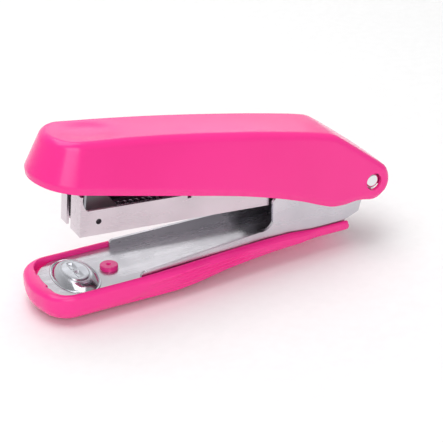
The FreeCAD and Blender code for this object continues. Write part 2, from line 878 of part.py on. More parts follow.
def cover_plan(inset, low):
    """The cover's outline at its lowest or highest level: blunt nose, sides that draw in slowly."""
    level = "low" if low else "high"
    front, middle, rear = (f"cover_{place}_half_{level} - ({inset})" for place in ("front", "middle", "rear"))
    far_side = [("-55", middle), ("-14", rear), ("cover_lobe + 1", rear)]
    nose = f"cover_nose_{level} + ({inset})"
    return nosed_plan(nose, front, f"(({front}) * cover_nose_bow)", f"(({front}) * cover_nose_corner)", far_side)


def cover_arch(drop):
    """The rear slope and the arched top, from the lobe to beyond the nose, lowered by a drop."""
    return [
        ("-15.5", f"14.6 - 1.1 * ({drop})"),
        ("-23", f"16.0 - ({drop})", "-19", f"15.8 - ({drop})"),
        ("-120", f"8.4 - ({drop})", "-75", f"13.9 - ({drop})"),
        ("-126", f"7.0 - ({drop})"),
    ]


def cover_outer_side():
    """The cover's side view: the lower edge with its droop, the lobe round the pin and the arch."""
    return [
        ("-126", "-4.7"),
        ("-56", "-4.9"),
        ("-16", "-9.0", "-34", "-6.1"),
        ("-8", "-7.6", "-12", "-9.2"),
        ("0", "-cover_lobe"),
        ("cover_lobe * 0.5", "cover_lobe * 0.866", "cover_lobe * 0.97", "-cover_lobe * 0.24"),
        *cover_arch("0"),
    ]


def cover_inner_side():
    """The hollow: open below, and open at the back under the pin, where the ears pass as it swings up."""
    lobe = "(cover_lobe - cover_wall)"
    return [
        ("-126", "-16"),
        ("12", "-16"),
        ("12", f"-{lobe} * 0.389"),
        (f"{lobe} * 0.921", f"-{lobe} * 0.389"),
        (f"{lobe} * 0.5", f"{lobe} * 0.866", f"{lobe} * 0.94", f"{lobe} * 0.342"),
        *cover_arch("cover_wall"),
    ]


def cover_solid(name, side, inset, low):
    """A drafted block cut to a side view."""
    plan = lofted(f"{name}_plan", [(low, cover_plan(inset, True)), ("cover_high", cover_plan(inset, False))])
    return boolean("Common", name, plan, padded(f"{name}_side", "XZ_Plane", side, "60"))


def top_cover():
    outer = cover_solid("cover_outer", cover_outer_side(), "0", "cover_low")
    inner = cover_solid("cover_inner", cover_inner_side(), "cover_wall", "cover_low - 2")
    shell = boolean("Cut", "cover_shell", outer, inner)
    pin_hole = cylinder("cover_pin_hole", "cover_hole_radius", "60", "0", "-30", "0", axis="Y")
    finish(boolean("Cut", "cover", shell, pin_hole), "top_cover", "handle_tilt")


BUILDERS = (
    base_tray, base_plate, anvil, plate_stud, lifting_spring, lifting_spring_rivet, hinge_pin,
    magazine_channel, staple_rail, rail_rivets, pusher_rod, rod_anchor, pusher, pusher_spring, hinge_bush,
    handle_frame, driver_blade, blade_rivets, handle_spring, handle_spring_rivet, top_cover,
)


def check_document():
    """Stop on a failed object or on a sub-part whose shape is missing or broken."""
    doc.recompute()
    failed = [item.Name for item in doc.Objects if {"Invalid", "Error"} & set(item.State)]
    if failed:
        raise ValueError(f"failed objects: {failed}")
    for subpart in SUBPARTS:
        shape = subpart.Shape
        if shape.isNull() or not shape.isValid() or not shape.Solids:
            raise ValueError(f"{subpart.Label} has no valid solid")


for build in BUILDERS:
    build()
check_document()
os.makedirs("parts", exist_ok=True)
for subpart in SUBPARTS:
    subpart.Shape.exportStep(f"parts/{subpart.Label}.step")
    print(subpart.Label, len(subpart.Shape.Solids), round(subpart.Shape.Volume, 1))
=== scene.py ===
import functools
import json
import math

import bmesh
import bpy
import numpy as np
from mathutils import Matrix, Vector


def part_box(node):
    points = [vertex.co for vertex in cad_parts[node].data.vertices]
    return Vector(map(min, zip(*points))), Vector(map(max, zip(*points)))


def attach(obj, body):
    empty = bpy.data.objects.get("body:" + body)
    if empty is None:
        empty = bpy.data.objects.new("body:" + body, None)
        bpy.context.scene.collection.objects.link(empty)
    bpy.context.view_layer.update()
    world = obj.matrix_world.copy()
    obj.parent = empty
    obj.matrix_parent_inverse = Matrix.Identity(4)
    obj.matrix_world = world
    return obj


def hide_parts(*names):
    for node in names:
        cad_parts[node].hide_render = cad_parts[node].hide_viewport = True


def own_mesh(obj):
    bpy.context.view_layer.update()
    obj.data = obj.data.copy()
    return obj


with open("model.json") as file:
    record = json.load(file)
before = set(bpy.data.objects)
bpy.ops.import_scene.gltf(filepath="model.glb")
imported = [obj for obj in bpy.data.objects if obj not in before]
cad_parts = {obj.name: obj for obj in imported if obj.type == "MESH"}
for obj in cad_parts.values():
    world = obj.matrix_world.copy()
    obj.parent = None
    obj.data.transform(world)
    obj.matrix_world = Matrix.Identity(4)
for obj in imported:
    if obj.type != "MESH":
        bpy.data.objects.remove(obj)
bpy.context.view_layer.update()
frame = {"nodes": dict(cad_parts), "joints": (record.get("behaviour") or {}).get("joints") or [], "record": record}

MM = 0.001

# ---------------------------------------------------------------- placing

JOINTS = {joint["name"]: joint for joint in frame["joints"]}
HINGE = Vector(JOINTS["handle_hinge"]["pos_m"])
# How far the handle and the magazine stand nose-up at rest.
HANDLE_TILT = math.radians(13.7)
MAGAZINE_TILT = math.radians(4.3)
WELD = 1e-6


def hinged(points, tilt):
    """Points drawn in millimetres about the hinge's axis, carried to the stapler's frame."""
    turn = Matrix.Rotation(tilt, 3, "Y")
    return [HINGE + turn @ (Vector(point) * MM) for point in points]


def level(points):
    """Points drawn in millimetres in the stapler's own frame."""
    return [Vector(point) * MM for point in points]


def new_piece(name, points, faces, body, material):
    """A smooth-shaded mesh that rides on a body."""
    mesh = bpy.data.meshes.new(name)
    mesh.from_pydata([tuple(point) for point in points], [], faces)
    mesh.validate()
    work = bmesh.new()
    work.from_mesh(mesh)
    bmesh.ops.remove_doubles(work, verts=work.verts, dist=WELD)
    bmesh.ops.recalc_face_normals(work, faces=work.faces)
    work.to_mesh(mesh)
    work.free()
    for polygon in mesh.polygons:
        polygon.use_smooth = True
    piece = bpy.data.objects.new(name, mesh)
    bpy.context.collection.objects.link(piece)
    mesh.materials.append(material)
    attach(piece, body)
    return piece


def grid_faces(rows, columns, wrap=False):
    """Quads between neighbouring rows of a grid whose points are stored row by row."""
    faces = []
    last = columns if wrap else columns - 1
    for row in range(rows - 1):
        for column in range(last):
            following = (column + 1) % columns
            faces.append((
                row * columns + column,
                row * columns + following,
                (row + 1) * columns + following,
                (row + 1) * columns + column,
            ))
    return faces


def smooth_curve(knots, count, fine=40):
    """A Catmull-Rom curve through the knots, sampled evenly along its length."""
    knots = np.array(knots, float)
    padded = np.vstack([2 * knots[0] - knots[1], knots, 2 * knots[-1] - knots[-2]])
    pieces = []
    for index in range(len(knots) - 1):
        a, b, c, d = padded[index:index + 4]
        t = np.linspace(0, 1, fine, endpoint=False)[:, None]
        squared, cubed = 2 * a - 5 * b + 4 * c - d, 3 * b - a - 3 * c + d
        pieces.append(0.5 * (2 * b + (c - a) * t + squared * t ** 2 + cubed * t ** 3))
    dense = np.vstack(pieces + [knots[-1:]])
    length = np.concatenate([[0], np.cumsum(np.linalg.norm(np.diff(dense, axis=0), axis=1))])
    wanted = np.linspace(0, length[-1], count)
    return np.stack([np.interp(wanted, length, dense[:, axis]) for axis in range(dense.shape[1])], axis=1)


# ---------------------------------------------------------------- materials

# Sockets of a colour mix node.
MIX_FIRST, MIX_SECOND, MIX_RESULT = 6, 7, 2


def new_material(name):
    """A material with one principled shader."""
    material = bpy.data.materials.new(name)
    material.use_nodes = True
    nodes = material.node_tree.nodes
    nodes.clear()
    output = nodes.new("ShaderNodeOutputMaterial")
    shader = nodes.new("ShaderNodeBsdfPrincipled")
    material.node_tree.links.new(shader.outputs[0], output.inputs[0])
    return material, shader


def add(material, kind, links=(), **settings):
    """A node with its settings made and its inputs linked: links are (input, node, output)."""
    node = material.node_tree.nodes.new(kind)
    for name, setting in settings.items():
        setattr(node, name, setting)
    for name, source, output in links:
        material.node_tree.links.new(source.outputs[output], node.inputs[name])
    return node


def join(material, source, output, target, name):
    """Link a node's output to another's input."""
    material.node_tree.links.new(source.outputs[output], target.inputs[name])


def noise(material, place, scale, detail=3.0, rough=0.5, stretch=(1, 1, 1)):
    """Noise in the object's own space; a small stretch value draws it out along that axis."""
    moved = add(material, "ShaderNodeMapping", [("Vector", place, "Object")])
    moved.inputs["Scale"].default_value = stretch
    texture = add(material, "ShaderNodeTexNoise", [("Vector", moved, "Vector")])
    texture.inputs["Scale"].default_value = scale
    texture.inputs["Detail"].default_value = detail
    texture.inputs["Roughness"].default_value = rough
    return texture


def ramp(material, source, output, low, high, from_low=0.35, from_high=0.65):
    """Map the middle of a noise's range to low..high."""
    mapped = add(material, "ShaderNodeMapRange", [("Value", source, output)])
    mapped.inputs["From Min"].default_value = from_low
    mapped.inputs["From Max"].default_value = from_high
    mapped.inputs["To Min"].default_value = low
    mapped.inputs["To Max"].default_value = high
    return mapped


def bump(material, source, output, strength, distance, below=None):
    """A bump node, on top of another one if given."""
    node = add(material, "ShaderNodeBump", [("Height", source, output)])
    node.inputs["Strength"].default_value = strength
    node.inputs["Distance"].default_value = distance
    if below:
        join(material, below, "Normal", node, "Normal")
    return node


def tint(material, factor, output, first, second):
    """A mix of two colours; the colour inputs and the output go by number, as their names are shared."""
    colours = add(material, "ShaderNodeMix", data_type="RGBA")
    join(material, factor, output, colours, "Factor")
    colours.inputs[MIX_FIRST].default_value = (*first, 1)
    colours.inputs[MIX_SECOND].default_value = (*second, 1)
    return colours


def glossy_plastic(name, first, second, rough=0.24):
    """Moulded plastic: a faint flow of colour, a soft orange peel and hairline handling marks."""
    material, shader = new_material(name)
    place = add(material, "ShaderNodeTexCoord")
    flow = noise(material, place, 28, 2)
    colours = tint(material, ramp(material, flow, "Fac", 0, 1), "Result", first, second)
    join(material, colours, MIX_RESULT, shader, "Base Color")
    peel = noise(material, place, 900, 2)
    marks = noise(material, place, 340, 4, 0.6, (0.25, 1.5, 1.5))
    rub = ramp(material, marks, "Fac", rough - 0.02, rough + 0.03)
    join(material, rub, "Result", shader, "Roughness")
    soft = bump(material, peel, "Fac", 0.05, 0.00004)
    fine = bump(material, marks, "Fac", 0.03, 0.00002, soft)
    join(material, fine, "Normal", shader, "Normal")
    # Tinted highlights: a bright sheen on this plastic reads lilac, not white.
    shader.inputs["IOR"].default_value = 1.5
    shader.inputs["Specular Tint"].default_value = (1.0, 0.74, 1.0, 1.0)
    shader.inputs["Coat Weight"].default_value = 0.2
    shader.inputs["Coat Roughness"].default_value = 0.12
    return material


def sheet_metal(name, first, second, rough, brush, depth=0.25):
    """Plated sheet: rolling marks along its length, cloudy patches and small scuffs."""
    material, shader = new_material(name)
    place = add(material, "ShaderNodeTexCoord")
    rolled = noise(material, place, 420, 5, 0.6, (0.07, 1, 1))
    cloud = noise(material, place, 60, 3, 0.5)
    scuffs = noise(material, place, 1500, 3, 0.7, (0.35, 1, 0.8))
    colours = tint(material, ramp(material, cloud, "Fac", 0, 1), "Result", first, second)
    join(material, colours, MIX_RESULT, shader, "Base Color")
    grain = ramp(material, rolled, "Fac", rough - brush, rough + brush)
    patch = ramp(material, cloud, "Fac", -0.03, 0.05)
    total = add(material, "ShaderNodeMath", operation="ADD")
    join(material, grain, "Result", total, 0)
    join(material, patch, "Result", total, 1)
    join(material, total, "Value", shader, "Roughness")
    lines = bump(material, rolled, "Fac", depth, 0.00003)
    dents = bump(material, scuffs, "Fac", depth * 0.4, 0.00002, lines)
    join(material, dents, "Normal", shader, "Normal")
    shader.inputs["Metallic"].default_value = 1.0
    return material


# Each finish has a name, two colours that flow into each other and a roughness; sheet metal also has
# the spread of its roughness and the depth of its marks.
PINK = glossy_plastic("pink_plastic", (1.0, 0.030, 0.300), (0.97, 0.027, 0.285))
STEEL = sheet_metal("plate_steel", (0.64, 0.62, 0.66), (0.56, 0.55, 0.59), 0.27, 0.05)
# The magazine's colours are tinted pink-lilac: a painted reflection of the pink cover and tray, not a warmer
# metal.
MAGAZINE_PAINTED_PINK_REFLECTION = sheet_metal("magazine_steel_painted_pink_reflection", (0.68, 0.60, 0.645), (0.60, 0.53, 0.57), 0.24, 0.05)
CHROME = sheet_metal("anvil_chrome", (0.80, 0.81, 0.83), (0.74, 0.75, 0.78), 0.10, 0.03, 0.12)
# The anvil's chrome, darkened: painted shade standing in for the darker surroundings that the dome reflects.
ANVIL_PAINTED_SHADE = sheet_metal("anvil_chrome_painted_shade", (0.58, 0.59, 0.63), (0.52, 0.53, 0.57), 0.17, 0.04, 0.12)
SPRING = sheet_metal("spring_steel", (0.42, 0.43, 0.46), (0.34, 0.35, 0.38), 0.30, 0.06)
BLACK = glossy_plastic("black_plastic", (0.020, 0.020, 0.022), (0.030, 0.030, 0.033), 0.42)
FINISHES = {
    "pink_plastic": PINK,
    "plate_steel": STEEL,
    "anvil_chrome": CHROME,
    "spring_steel": SPRING,
    "black_plastic": BLACK,
}


def dress_frame():
    """Give each CAD node the finish of its slot, and sheet metal a small bevel along its cut edges."""
    slots = {entry["node"]: entry["material_slot"] for entry in frame["record"]["subparts"]}
    for name, node in frame["nodes"].items():
        node.data.materials.clear()
        # The magazine's steel is tinted pink-lilac, a painted reflection of the pink cover around it.
        node.data.materials.append(MAGAZINE_PAINTED_PINK_REFLECTION if name == "magazine_channel" else FINISHES[slots[name]])
        bevel = node.modifiers.new("edges", "BEVEL")
        bevel.width = 0.16 * MM
        bevel.segments = 2
        bevel.limit_method = "ANGLE"
        bevel.angle_limit = math.radians(38)
        bevel.use_clamp_overlap = True


# ---------------------------------------------------------------- moulded shapes

def rounded(first, second, radius):
    """The field where two fields overlap, with the edge between them rounded."""
    corner = np.hypot(np.maximum(first + radius, 0), np.maximum(second + radius, 0))
    return np.minimum(np.maximum(first, second), -radius) + corner


def settle(points, field, level_hold, rounds=7, step=0.02):
    """Slide points down a field's slope onto its zero surface; held ones keep their height."""
    for _ in range(rounds):
        slope = np.stack([
            (field(points + step * axis) - field(points - step * axis)) / (2 * step) for axis in np.eye(3)
        ], axis=1)
        slope[:, 2] *= 1 - level_hold
        steep = np.maximum((slope ** 2).sum(axis=1), 1e-6)
        points = points - slope * (field(points) / steep)[:, None]
    return points


def relax(points, faces, fixed, rounds=8):
    """Even out a mesh's spacing: each free vertex moves halfway to the middle of its neighbours."""
    sides = {tuple(sorted(pair)) for face in faces for pair in zip(face, face[1:] + face[:1])}
    edges = np.array(sorted(sides))
    count = np.zeros(len(points))
    np.add.at(count, edges.ravel(), 1)
    for _ in range(rounds):
        total = np.zeros_like(points)
        np.add.at(total, edges[:, 0], points[edges[:, 1]])
        np.add.at(total, edges[:, 1], points[edges[:, 0]])
        middle = total / np.maximum(count, 1)[:, None]
        points = np.where(fixed[:, None], points, 0.5 * (points + middle))
    return points


@functools.lru_cache(maxsize=None)
def curve_table(knots, count=500):
    """The smooth curve through the knots, worked out once."""
    return smooth_curve(knots, count)


def curve_value(knots, x):
    """The second coordinate at x of the smooth curve through the knots."""
    line = curve_table(knots)
    return np.interp(x, line[:, 0], line[:, 1])


def along(line, lengths):
    """Points at the given lengths along a line."""
    run = np.concatenate([[0], np.cumsum(np.linalg.norm(np.diff(line, axis=0), axis=1))])
    return np.stack([np.interp(lengths, run, line[:, axis]) for axis in range(line.shape[1])], axis=1)


def length_at(line, point):
    """How far along a line the point of it nearest to a given point lies."""
    run = np.concatenate([[0], np.cumsum(np.linalg.norm(np.diff(line, axis=0), axis=1))])
    return run[np.argmin(np.linalg.norm(line - np.array(point), axis=1))]


def crisp(piece, degrees=35):
    """Smooth shading, broken where faces meet at more than an angle."""
    for polygon in piece.data.polygons:
        polygon.use_smooth = True
    piece.data.set_sharp_from_angle(angle=math.radians(degrees))


def apply_modifiers(piece):
    """Leave only the final mesh."""
    bpy.context.view_layer.update()
    done = piece.evaluated_get(bpy.context.evaluated_depsgraph_get())
    mesh = bpy.data.meshes.new_from_object(done)
    piece.modifiers.clear()
    piece.data = mesh


# ---------------------------------------------------------------- the cover

# The cover is drawn level, in millimetres about the hinge's axis. Its side view has a top line that
# runs from the nose over the arch and the rear slope and round the lobe, and a lower edge.
LOBE = 6.9
LOBE_LINE = tuple((LOBE * math.cos(math.radians(turn)), LOBE * math.sin(math.radians(turn)))
                  for turn in (58, 40, 20, 0, -23)) + ((3.2, -10.1),)
COVER_TOP = (
    (-132, 7.8), (-120, 9.85), (-98, 12.35), (-75, 14.3), (-50, 15.6), (-32, 16.05), (-24, 16.05),
    (-19, 15.65), (-15, 14.2), (-9, 11.6), (-2.5, 8.7),
) + LOBE_LINE
COVER_EDGE = (
    (-126, -4.7), (-112, -4.7), (-90, -4.75), (-70, -4.8), (-54, -4.95), (-40, -5.7), (-28, -7.0),
    (-20, -8.45), (-14.5, -9.1), (-9.5, -8.4), (-4.5, -7.2), (-1.0, -6.85), (0.9, -6.83),
    (3.3, -6.06), (5.05, -4.7),
)
# Half widths of the drafted sides along the cover, at a low level and at a high level.
DRAFT_LOW, DRAFT_HIGH = -9.5, 16.5
HALF_LOW = ((-130, 15.6), (-90, 15.5), (-55, 15.0), (-30, 14.1), (-14, 13.3), (10, 13.0))
HALF_HIGH = ((-130, 8.6), (-90, 9.0), (-55, 9.6), (-30, 10.2), (-14, 10.6), (10, 10.6))
# Where the middle of the nose stands at those two levels, and how far its front has swept back at a
# place across it, both as shares of the half width.
NOSE_LOW, NOSE_HIGH = -123.8, -117.9
NOSE_SWEEP, NOSE_SWEEP_AT = 0.19, 0.6
# The rounded edges: between nose and side as a share of the half width, and round the top.
NOSE_ROUND = 0.38
SHOULDER = 2.0
CROWN = 0.15
# The band along the lower edge, which is drawn in.
HEM = 1.9
HEM_DRAW = 1.1
HEM_REACH = 1.3
COVER_WALL = 1.5
# The hole for the pin: its radius, and a length that goes right through.
PIN_HOLE, PIN_HOLE_LONG = 3.0, 40
# The thumb dish on top of the nose: its middle, half length, half width, depth, and how square it is.
DISH_X, DISH_LONG, DISH_WIDE, DISH_DEEP, DISH_SQUARE = -105, 9.0, 6.2, 0.7, 1.6
# How the ribs lean: pairs of a point on the top line and the point of the lower edge under it.
RIB_TIES = (
    ((-113.9, 10.5), (-115.2, -4.7)),
    ((-60, 14.75), (-60, -4.9)),
    ((-24, 15.9), (-29, -6.8)),
    ((-9, 11.5), (-17, -8.9)),
    ((1.0, 6.8), (-10, -8.5)),
    ((6.9, 0.0), (0.9, -6.83)),
    ((6.35, -2.7), (5.05, -4.7)),
)
RIBS = 150
ACROSS = 34
# Heights of the lowest rows above the edge, and how many rows share out the rest of a rib.
HEM_ROWS = np.array([0, 0.5, 1.0, 1.5, HEM, HEM + 0.25])
HIGH_ROWS = 20
# A short rib counts as this many times as high as its hem rows, so that they never fill it.
HEM_SHARE = 2.2
# The top strip starts bowed like the nose, and the bow fades over this length.
BOW_FADE = 16
# Wall points keep their height while they settle, if they lie this far under the top line, and ahead
# of this place; the hold fades in over a length.
HOLD_UNDER, HOLD_AHEAD, HOLD_FADE = 2.2, -6, 3


def draft_share(z):
    """How far up the draft a height lies, from 0 at its low level to 1 at its high one."""
    return (z - DRAFT_LOW) / (DRAFT_HIGH - DRAFT_LOW)


def cover_half(x, z):
    """Half the cover's width at a place along it and a height."""
    share = draft_share(z)
    low, high = curve_value(HALF_LOW, x), curve_value(HALF_HIGH, x)
    return low + (high - low) * share


def cover_nose(y, z, half):
    """Where the nose's bowed front stands."""
    middle = NOSE_LOW + (NOSE_HIGH - NOSE_LOW) * draft_share(z)
    return middle + NOSE_SWEEP * half * (y / (NOSE_SWEEP_AT * half)) ** 2


def top_field(x, z, line, outward):
    """Signed distance from the top line, positive outside it."""
    gap = np.stack([x, z], axis=1)[:, None, :] - line[None, :, :]
    nearest = np.argmin((gap ** 2).sum(axis=2), axis=1)
    return (gap[np.arange(len(x)), nearest] * outward[nearest]).sum(axis=1)


def cover_field():
    """The cover's outer surface as a field: zero on it, positive outside."""
    line = smooth_curve(COVER_TOP, 280)
    run = np.gradient(line, axis=0)
    outward = np.stack([-run[:, 1], run[:, 0]], axis=1)
    outward /= np.linalg.norm(outward, axis=1)[:, None]

    def field(points):
        x, y, z = points.T
        half = cover_half(x, z)
        drawn = HEM_DRAW * np.clip(1 - (z - curve_value(COVER_EDGE, x)) / HEM, 0, HEM_REACH)
        side = np.abs(y) - half + drawn
        nose = cover_nose(np.minimum(np.abs(y), half), z, half) - x + drawn
        plan = rounded(side, nose, NOSE_ROUND * half)
        crown = CROWN * (y / half) ** 2
        return rounded(plan, top_field(x, z, line, outward) + crown, SHOULDER)

    return field


def eased(count, tight):
    """Shares from 0 to 1 that crowd towards 1."""
    return 1 - (1 - np.linspace(0, 1, count)) ** tight


def cover_wall(base, head):
    """Points up a rib from the lower edge to the top line."""
    hem = HEM_ROWS / max(np.linalg.norm(head - base), HEM_SHARE * HEM_ROWS[-1])
    shares = np.concatenate([hem, hem[-1] + (1 - hem[-1]) * eased(HIGH_ROWS, 1.7)[1:]])
    return base + (head - base) * shares[:, None]


def rib_ends():
    """The ends of the ribs on the lower edge and on the top line, a little closer at the nose."""
    top = smooth_curve(COVER_TOP, 1500)
    edge = smooth_curve(COVER_EDGE, 900)
    top_ties = [length_at(top, upper) for upper, _ in RIB_TIES]
    edge_ties = [length_at(edge, lower) for _, lower in RIB_TIES]
    share = np.linspace(0, 1, RIBS)
    top_run = top_ties[0] + (top_ties[-1] - top_ties[0]) * (0.35 * share ** 2 + 0.65 * share)
    return along(edge, np.interp(top_run, top_ties, edge_ties)), along(top, top_run)


def build_cover():
    """Near side, nose and far side in one strip of walls, and the top between them as another."""
    lower, upper = rib_ends()
    spread = np.sin(np.linspace(-math.pi / 2, math.pi / 2, ACROSS))
    rings = []
    for side in (-1, 1):
        for base, head in zip(lower, upper):
            flat = cover_wall(base, head)
            half = cover_half(flat[:, 0], flat[:, 1])
            rings.append(np.stack([flat[:, 0], side * half, flat[:, 1]], axis=1))
    rows = len(rings[0])
    near, far = rings[:RIBS], rings[RIBS:]
    nose = []
    for share in spread[1:-1]:
        z = cover_wall(np.array([0, lower[0][1]]), np.array([0, upper[0][1]]))[:, 1]
        half = cover_half(np.full(rows, upper[0][0]), z)
        y = share * half
        nose.append(np.stack([cover_nose(y, z, half), y, z], axis=1))
    walls = near[::-1] + nose + far
    wall_points = np.concatenate(walls)
    faces = grid_faces(len(walls), rows)

    # The top strip ends at the back of the lobe, above the opening for the ears.
    start_x = upper[0][0]
    strip = []
    for x, z in upper[1:]:
        half = cover_half(np.array([x]), z)[0]
        y = spread[1:-1] * half
        bulge = (cover_nose(y, z, half) - start_x) * np.clip(1 - (x - start_x) / BOW_FADE, 0, 1)
        strip.append(np.stack([x + bulge, y, np.full(ACROSS - 2, z)], axis=1))
    points = np.concatenate([wall_points] + strip)

    def top_vertex(row, column):
        """The vertex of the top strip's grid, whose border is the top of the walls."""
        if column == 0:
            return (RIBS - 1 - row) * rows + rows - 1
        if column == ACROSS - 1:
            return (RIBS + ACROSS - 2 + row) * rows + rows - 1
        if row == 0:
            return (RIBS - 1 + column) * rows + rows - 1
        return len(wall_points) + (row - 1) * (ACROSS - 2) + column - 1

    for row in range(RIBS - 1):
        for column in range(ACROSS - 1):
            faces.append((
                top_vertex(row, column), top_vertex(row, column + 1),
                top_vertex(row + 1, column + 1), top_vertex(row + 1, column),
            ))

    heads = list(upper[::-1]) + [upper[0]] * (ACROSS - 2) + list(upper)
    depth = np.concatenate([head[1] - rib[:, 2] for rib, head in zip(walls, heads)])
    ahead = np.clip((HOLD_AHEAD - wall_points[:, 0]) / HOLD_FADE, 0, 1)
    hold = np.clip(depth - HOLD_UNDER, 0, 1) * ahead
    hold = np.concatenate([hold, np.zeros(len(points) - len(wall_points))])
    field = cover_field()
    points = settle(points, field, hold)
    border = np.zeros(len(points), bool)
    border[0:len(wall_points):rows] = True
    border[:rows] = True
    border[len(wall_points) - rows:len(wall_points)] = True
    border[-(ACROSS - 2):] = True
    points = settle(relax(points, faces, border), field, hold, 3)

    x, y, z = points.T
    dish = np.exp(-(((x - DISH_X) / DISH_LONG) ** 2 + (y / DISH_WIDE) ** 2) ** DISH_SQUARE)
    on_top = z > 4
    points[:, 2] = z - DISH_DEEP * dish * on_top

    placed = hinged(points, HANDLE_TILT)
    cover = new_piece("cover_shell", placed, faces, "handle", PINK)
    shell = cover.modifiers.new("wall", "SOLIDIFY")
    shell.thickness = COVER_WALL * MM
    shell.offset = -1
    apply_modifiers(cover)
    cut_round_hole(cover, HINGE, PIN_HOLE * MM, PIN_HOLE_LONG * MM)
    crisp(cover)
    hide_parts("top_cover")


def cut_round_hole(piece, centre, radius, depth, sides=64):
    """Bore a round hole across the stapler."""
    ring = [Vector((radius * math.cos(turn), 0, radius * math.sin(turn)))
            for turn in (2 * math.pi * step / sides for step in range(sides))]
    points = [centre + corner + Vector((0, side * depth / 2, 0)) for side in (-1, 1) for corner in ring]
    faces = grid_faces(2, sides, wrap=True)
    faces += [tuple(range(sides)), tuple(range(sides, 2 * sides))]
    mesh = bpy.data.meshes.new("drill")
    mesh.from_pydata([tuple(point) for point in points], [], faces)
    work = bmesh.new()
    work.from_mesh(mesh)
    bmesh.ops.recalc_face_normals(work, faces=work.faces)
    work.to_mesh(mesh)
    work.free()
    drill = bpy.data.objects.new("drill", mesh)
    bpy.context.collection.objects.link(drill)
    cut = piece.modifiers.new("hole", "BOOLEAN")
    cut.operation = "DIFFERENCE"
    cut.solver = "EXACT"
    cut.object = drill
    apply_modifiers(piece)
    bpy.data.objects.remove(drill)


# ---------------------------------------------------------------- the tray

# Millimetres in the stapler's frame.
TRAY_HALF = (
    (-64, 15), (-45, 15), (-33, 15), (-19, 14.35), (-5, 13.1), (9, 11.9), (20, 11.05), (28, 10.8),
    (40, 10.8), (50, 10.8),
)
PLATE_HALF = (
    (-64, 12.95), (-45, 12.95), (-33, 12.95), (-21, 12.35), (-9, 11.4), (4, 10.4), (16, 9.72),
    (28, 9.7), (50, 9.7),
)
TRAY_FLOOR = ((-64, 0), (-24, 0), (-14, 0.5), (-5, 1.6), (8, 3.0), (20, 4.0), (34, 4.7), (50, 4.9))
TRAY_BELLY = ((-64, 5.2), (-30, 5.2), (-5, 4.2), (12, 3.4), (30, 2.0), (50, 1.5))
TRAY_TOP = ((-64, 9.5), (-20, 9.5), (22, 9.45), (27, 9.3), (31, 8.95), (36, 8.6), (50, 8.6))
TRAY_NOSE = -64.5
NOSE_BOW = 0.9
NOSE_HALF = 15
TRAY_CORNER = 10.0
TRAY_TAIL = 49.4
TAIL_CORNER, TAIL_FLAT = 2, 8.8
TRAY_MIDDLE = (-10.0, 0.0)
RECESS = 6.7
# The rounding of the rim's outer edge, along the sides and at the tail, the rim's width at the tail,
# and how much wider it is at the nose.
RIM_ROUND, TAIL_ROUND, TAIL_RIM, NOSE_RIM = 1.7, 0.35, 1.1, 2.1
# The tab at the nose that holds the plate: how far it stands in, its half width, and where it ends.
TAB, TAB_HALF, TAB_BACK = 0.7, 4.8, -58
# The grip: where it can start and end, and the half width of the tail it stays clear of.
GRIP_FRONT, GRIP_BACK, GRIP_CLEAR = -45, 40, 9
# Its swelling and its flutes: heights, half width of a flute, where they begin, how many.
SWELL, FLUTE, FLUTE_HALF, FLUTE_START, FLUTES = 1.0, 0.6, 0.5, -37, 5


def tray_outline():
    """Points and inward directions round the tray's plan, from the tail along the near side."""
    corner_x = TRAY_NOSE + NOSE_BOW + TRAY_CORNER
    corner_y = TRAY_CORNER - NOSE_HALF
    near = [(x, -curve_value(TRAY_HALF, x)) for x in np.linspace(TRAY_TAIL - TAIL_CORNER, corner_x, 150)]
    for turn in np.radians(np.linspace(0, 80, 22)[1:]):
        near.append((corner_x - TRAY_CORNER * math.sin(turn), corner_y - TRAY_CORNER * math.cos(turn)))
    front = near[-1]
    bow = front[0] - TRAY_NOSE
    nose = [(TRAY_NOSE + bow * (y / front[1]) ** 2, y) for y in np.linspace(front[1], 0, 22)[1:]]
    tail = []
    for turn in np.radians(np.linspace(0, 90, 6)[1:]):
        x = TRAY_TAIL - TAIL_CORNER + TAIL_CORNER * math.sin(turn)
        tail.append((x, -TAIL_FLAT - TAIL_CORNER * math.cos(turn)))
    tail_end = [(TRAY_TAIL, y) for y in np.linspace(-TAIL_FLAT, 0, 6)[1:]]
    half_loop = (tail + tail_end)[::-1] + near + nose
    loop = np.array(half_loop + [(x, -y) for x, y in half_loop[-2:0:-1]])
    run = np.roll(loop, -1, axis=0) - np.roll(loop, 1, axis=0)
    run /= np.linalg.norm(run, axis=1)[:, None]
    inward = np.stack([run[:, 1], -run[:, 0]], axis=1)
    centre_side = ((np.array(TRAY_MIDDLE) - loop) * inward).sum(axis=1)
    if centre_side.mean() < 0:
        inward = -inward
    return loop, inward


def grip(x, z):
    """How far the moulded grip stands out from the tray's side: a swelling with fanned flutes."""
    top = curve_value(TRAY_TOP, x)
    swell = np.clip((x + 38) / 30, 0, 1) * np.clip((37 - x) / 9, 0, 1)
    swell = swell * swell * (3 - 2 * swell)
    flutes = np.zeros_like(x)
    past = x - FLUTE_START
    reach = np.clip(past / 62, 0, 1)
    for number in range(FLUTES):
        rise = 2.2 + 0.8 * number + reach * (1.6 + 0.95 * number)
        deep = np.exp(-((z - rise) / FLUTE_HALF) ** 2)
        fade = np.clip((past - 1.5 * number) / 5, 0, 1) * np.clip((30 - 5 * number - x) / 16, 0, 1)
        flutes += deep * fade
    return SWELL * swell * np.clip((top - z) / 1.2, 0, 1) - FLUTE * np.minimum(flutes, 1)


